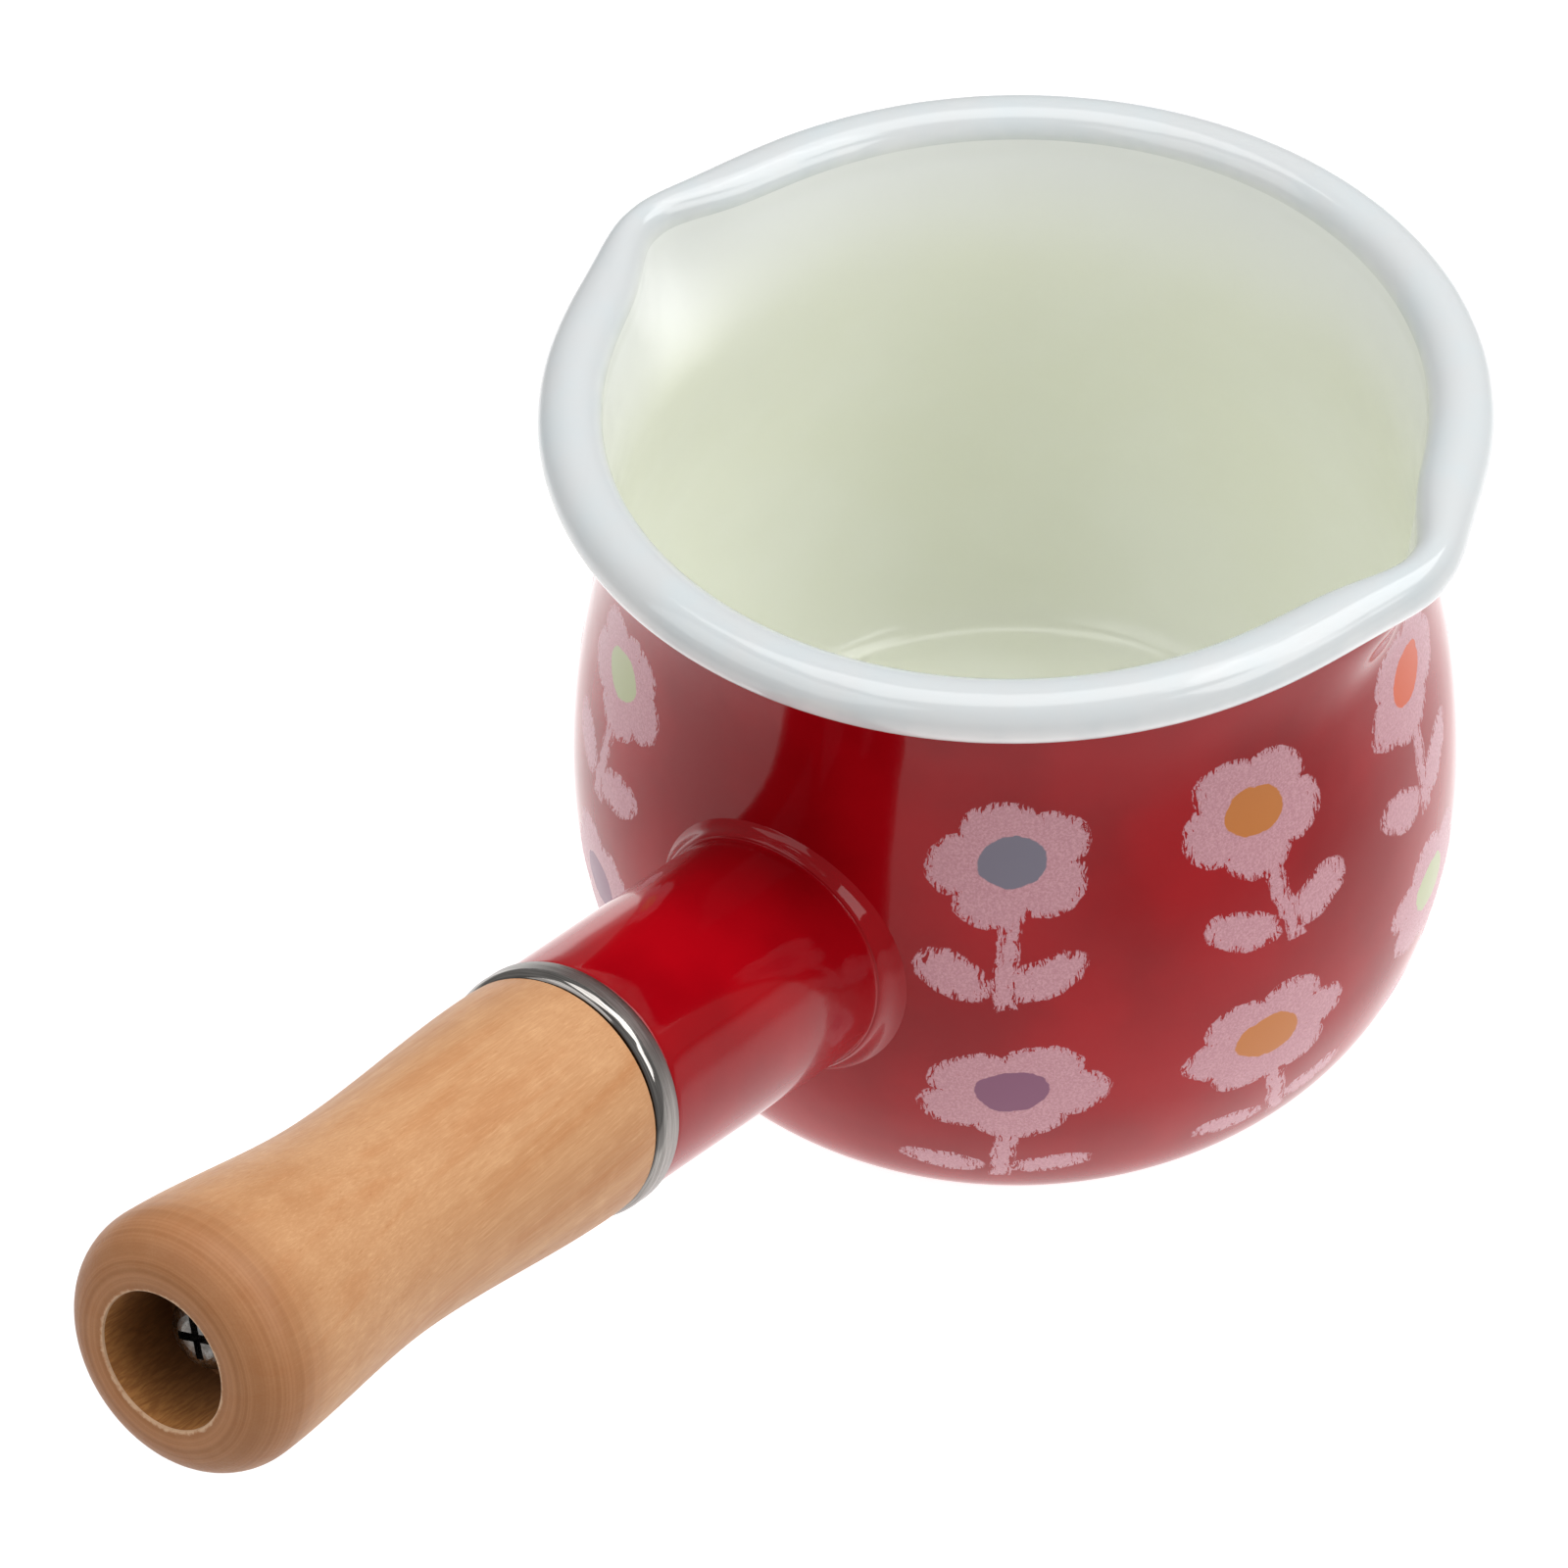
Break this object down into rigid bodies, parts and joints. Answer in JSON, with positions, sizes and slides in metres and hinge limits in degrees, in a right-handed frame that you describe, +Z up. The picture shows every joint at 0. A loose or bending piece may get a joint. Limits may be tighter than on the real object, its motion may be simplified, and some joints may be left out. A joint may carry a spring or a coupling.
{
  "type": "enamelled pouring pot",
  "caption": "Small enamelled pot with a waisted belly, rolled rim, opposed pouring spouts and an upswept turned wooden grip on a welded socket, for melting wax or warming milk.",
  "frame": {"origin": "centre of the pot's flat base, on the plane that it stands on", "axes": "+Z up through the mouth; the handle runs towards -X and rises; the spouts face +Y and -Y"},
  "size_m": [0.2627, 0.1408, 0.1176],
  "materials": {
    "red_enamel": "gloss",
    "stainless_steel": "satin",
    "lacquered_wood": "satin",
    "plated_steel": "satin"
  },
  "bodies": {
    "pot": {"pot_body": "red_enamel", "handle_socket": "red_enamel", "socket_bracket": "plated_steel", "bracket_nut": "plated_steel"},
    "grip": {"wooden_grip": "lacquered_wood", "ferrule": "stainless_steel"},
    "washers": {"flat_washer": "plated_steel", "spring_washer": "plated_steel"},
    "screw": {"handle_screw": "plated_steel"}
  },
  "joints": [
    {"name": "grip_pull_off", "type": "slide", "parent": "pot", "child": "grip", "axis": [-0.9225, 0, 0.3859], "range_m": [0, 0.03]},
    {"name": "screw_withdraw", "type": "slide", "parent": "grip", "child": "washers", "axis": [-0.9225, 0, 0.3859], "range_m": [0, 0.0104]},
    {"name": "screw_turn", "type": "hinge", "parent": "washers", "child": "screw", "pos_m": [-0.1142, 0, 0.0732], "axis": [-0.9225, 0, 0.3859], "range_deg": [0, 4680]}
  ],
  "couplings": [
    {"joint": "screw_turn", "follows": "screw_withdraw", "rad_per_m": 7854}
  ]
}
